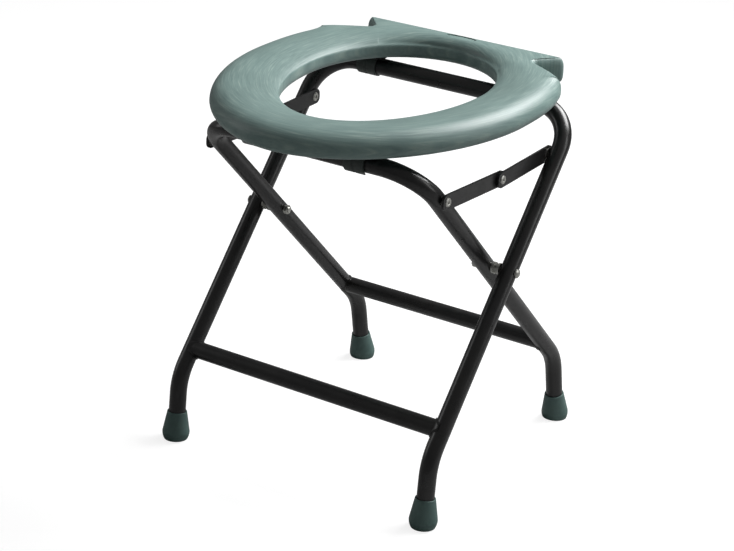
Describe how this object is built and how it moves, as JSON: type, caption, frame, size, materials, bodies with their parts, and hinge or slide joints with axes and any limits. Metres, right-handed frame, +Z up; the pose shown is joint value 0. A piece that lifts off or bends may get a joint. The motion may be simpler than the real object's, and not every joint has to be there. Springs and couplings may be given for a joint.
{
  "type": "folding commode stool",
  "caption": "Folding commode stool: a ring-shaped plastic seat on two crossed black tube frames with folding braces, cross rails and rubber tips.",
  "frame": {"origin": "on the floor under the middle of the open stool", "axes": "+Z up, +Y to the rear where the seat is hinged, +X to the right of a person sitting, who faces -Y"},
  "size_m": [0.3606, 0.4211, 0.4387],
  "materials": {
    "seat_plastic": "grey-green blow-moulded plastic with a fine brushed grain on top",
    "tip_rubber": "dark green-grey moulded rubber",
    "black_enamel": "smooth black stoved enamel, half gloss",
    "black_strap": "flat black enamel on strip steel",
    "clip_plastic": "dark grey moulded plastic",
    "base_plastic": "black moulded plastic",
    "plated_steel": "zinc-plated steel"
  },
  "bodies": {
    "outer_frame": {"outer_frame_tube": "black_enamel", "front_cross_rail": "black_enamel", "front_rail_welds": "black_enamel", "front_left_rubber_tip": "tip_rubber", "front_right_rubber_tip": "tip_rubber", "left_pivot_bolt": "plated_steel", "left_pivot_spacer": "plated_steel", "left_pivot_nut": "plated_steel", "left_rear_link_rivet": "plated_steel", "left_rear_link_washer": "plated_steel", "right_pivot_bolt": "plated_steel", "right_pivot_spacer": "plated_steel", "right_pivot_nut": "plated_steel", "right_rear_link_rivet": "plated_steel", "right_rear_link_washer": "plated_steel"},
    "inner_frame": {"inner_frame_tube": "black_enamel", "rear_cross_rail": "black_enamel", "rear_rail_welds": "black_enamel", "rear_left_rubber_tip": "tip_rubber", "rear_right_rubber_tip": "tip_rubber"},
    "seat": {"seat": "seat_plastic", "clip_screws": "plated_steel", "rear_left_seat_clip": "clip_plastic", "rear_left_clip_base": "base_plastic", "rear_right_seat_clip": "clip_plastic", "rear_right_clip_base": "base_plastic", "front_left_seat_clip": "clip_plastic", "front_left_clip_base": "base_plastic", "front_right_seat_clip": "clip_plastic", "front_right_clip_base": "base_plastic"},
    "left_rear_link": {"left_rear_link": "black_strap", "left_knee_washer": "plated_steel", "left_knee_rivet": "plated_steel"},
    "left_front_link": {"left_front_link": "black_strap", "left_front_link_washer": "plated_steel", "left_front_link_rivet": "plated_steel"},
    "right_rear_link": {"right_rear_link": "black_strap", "right_knee_washer": "plated_steel", "right_knee_rivet": "plated_steel"},
    "right_front_link": {"right_front_link": "black_strap", "right_front_link_washer": "plated_steel", "right_front_link_rivet": "plated_steel"}
  },
  "joints": [
    {"name": "frame_fold", "type": "hinge", "parent": "outer_frame", "child": "inner_frame", "pos_m": [0, 0.0063, 0.2439], "axis": [-1, 0, 0], "range_deg": [0, 76]},
    {"name": "seat_flip", "type": "hinge", "parent": "outer_frame", "child": "seat", "pos_m": [0, 0.12534, 0.39327], "axis": [-1, 0, 0], "range_deg": [0, 127]},
    {"name": "left_rear_link_turn", "type": "hinge", "parent": "outer_frame", "child": "left_rear_link", "pos_m": [0, 0.09199, 0.35143], "axis": [1, 0, 0], "range_deg": [0, 35.5]},
    {"name": "left_front_link_turn", "type": "hinge", "parent": "left_rear_link", "child": "left_front_link", "pos_m": [0, -0.0014, 0.3451], "axis": [-1, 0, 0], "range_deg": [0, 161]},
    {"name": "right_rear_link_turn", "type": "hinge", "parent": "outer_frame", "child": "right_rear_link", "pos_m": [0, 0.09199, 0.35143], "axis": [1, 0, 0], "range_deg": [0, 35.5]},
    {"name": "right_front_link_turn", "type": "hinge", "parent": "right_rear_link", "child": "right_front_link", "pos_m": [0, -0.0014, 0.3451], "axis": [-1, 0, 0], "range_deg": [0, 161]}
  ],
  "couplings": [
    {"joint": "seat_flip", "follows": "frame_fold", "ratio": 1.671},
    {"joint": "left_rear_link_turn", "follows": "frame_fold", "ratio": 0.466},
    {"joint": "left_front_link_turn", "follows": "frame_fold", "ratio": 2.1174},
    {"joint": "right_rear_link_turn", "follows": "frame_fold", "ratio": 0.466},
    {"joint": "right_front_link_turn", "follows": "frame_fold", "ratio": 2.1174}
  ]
}
